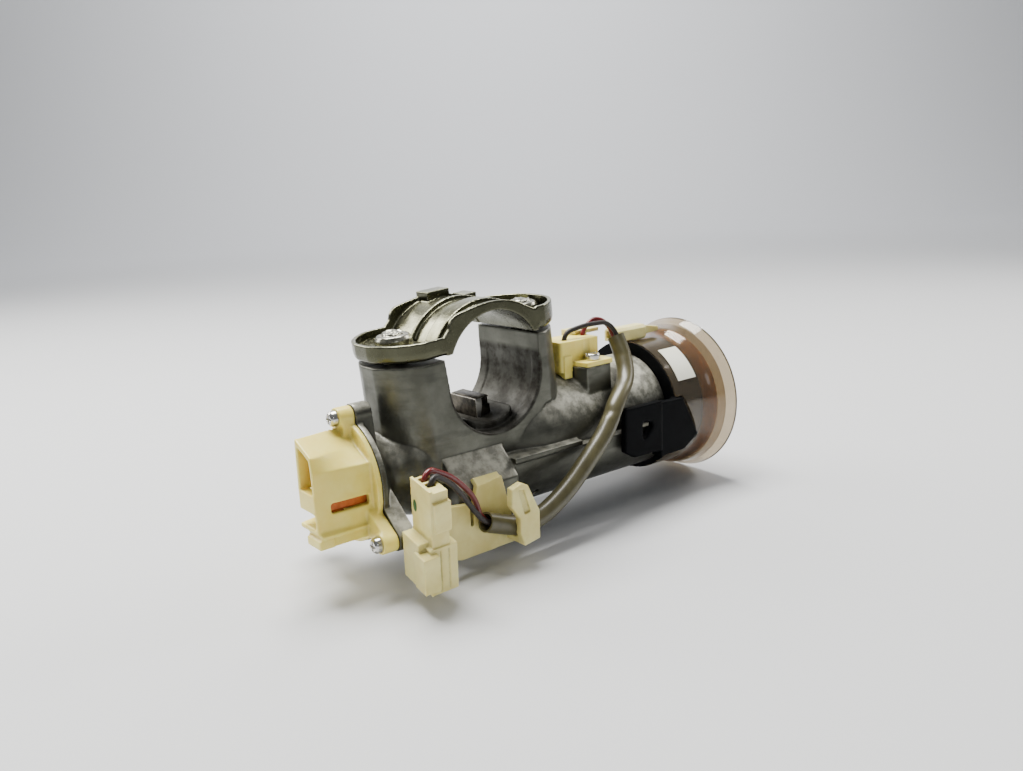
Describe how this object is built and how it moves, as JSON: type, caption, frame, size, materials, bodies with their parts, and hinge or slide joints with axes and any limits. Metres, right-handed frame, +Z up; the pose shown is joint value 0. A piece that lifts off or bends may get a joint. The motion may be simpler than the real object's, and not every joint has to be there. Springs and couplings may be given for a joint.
{
  "type": "steering column ignition lock",
  "caption": "Die-cast steering column ignition lock with a two-bolt tube clamp, locking bolt, key cylinder, ignition switch, key reminder switch and clear antenna ring.",
  "frame": {"origin": "centre of the column tube bore of the clamp", "axes": "+X along the lock barrel towards the key end, +Y along the column tube, +Z up through the clamp cap"},
  "size_m": [0.1794, 0.0801, 0.0874],
  "materials": {
    "cast_zinc": "die-cast zinc, satin",
    "cap_metal": "die-cast zinc, thin olive passivation",
    "bolt_steel": "zinc plated steel",
    "lock_steel": "hardened steel, worn",
    "spring_steel": "spring steel",
    "cover_steel": "plain steel",
    "lock_zinc": "machined zinc",
    "brass": "plain brass",
    "bezel_black": "satin black",
    "cream_nylon": "aged natural nylon",
    "white_nylon": "natural nylon",
    "contact_copper": "copper alloy",
    "black_plastic": "satin black",
    "clear_plastic": "clear, smoked",
    "coil_copper": "enamelled copper wire",
    "label_paper": "blank sticker",
    "sleeve_vinyl": "glossy soft vinyl",
    "wire_red": "vinyl",
    "wire_black": "vinyl"
  },
  "bodies": {
    "housing": {"lock_housing": "cast_zinc", "clamp_cap": "cap_metal", "shear_bolts": "bolt_steel", "lock_bolt_spring": "spring_steel", "bottom_cover": "cover_steel", "return_spring": "spring_steel", "key_cylinder_sleeve": "lock_zinc", "cylinder_bezel": "bezel_black", "retaining_pin": "bolt_steel", "switch_housing": "cream_nylon", "switch_terminals": "contact_copper", "switch_screws": "bolt_steel", "reminder_switch_body": "cream_nylon", "reminder_cover": "white_nylon", "reminder_screw": "bolt_steel", "ring_holder": "black_plastic", "antenna_ring": "clear_plastic", "antenna_coil": "coil_copper", "antenna_connector": "white_nylon", "label_plate": "label_paper", "connector_bracket": "white_nylon", "connector_housing": "white_nylon", "connector_terminals": "brass", "wire_sleeve": "sleeve_vinyl", "lead_wire_red": "wire_red", "lead_wire_black": "wire_black"},
    "key_rotor": {"cam_shaft": "lock_zinc", "key_plug": "lock_zinc", "wafer_tumblers": "brass", "wafer_springs": "spring_steel", "switch_rotor": "white_nylon", "rotor_contact": "contact_copper"},
    "lock_bolt": {"lock_bolt": "lock_steel"},
    "reminder_plunger": {"reminder_plunger": "white_nylon"}
  },
  "joints": [
    {"name": "key_turn", "type": "hinge", "parent": "housing", "child": "key_rotor", "pos_m": [0, 0, -0.0276], "axis": [-1, 0, 0], "range_deg": [0, 115]},
    {"name": "lock_bolt_slide", "type": "slide", "parent": "housing", "child": "lock_bolt", "axis": [0.0811, 0, -0.9967], "range_m": [0, 0.007], "deforming": ["lock_bolt_spring"]},
    {"name": "reminder_plunger_slide", "type": "slide", "parent": "housing", "child": "reminder_plunger", "axis": [0, 0, 1], "range_m": [0, 0.0015], "stiffness_N_per_m": 120, "springref_m": -0.002}
  ],
  "couplings": [
    {"joint": "lock_bolt_slide", "follows": "key_turn", "m_per_rad": 0.0034876}
  ]
}
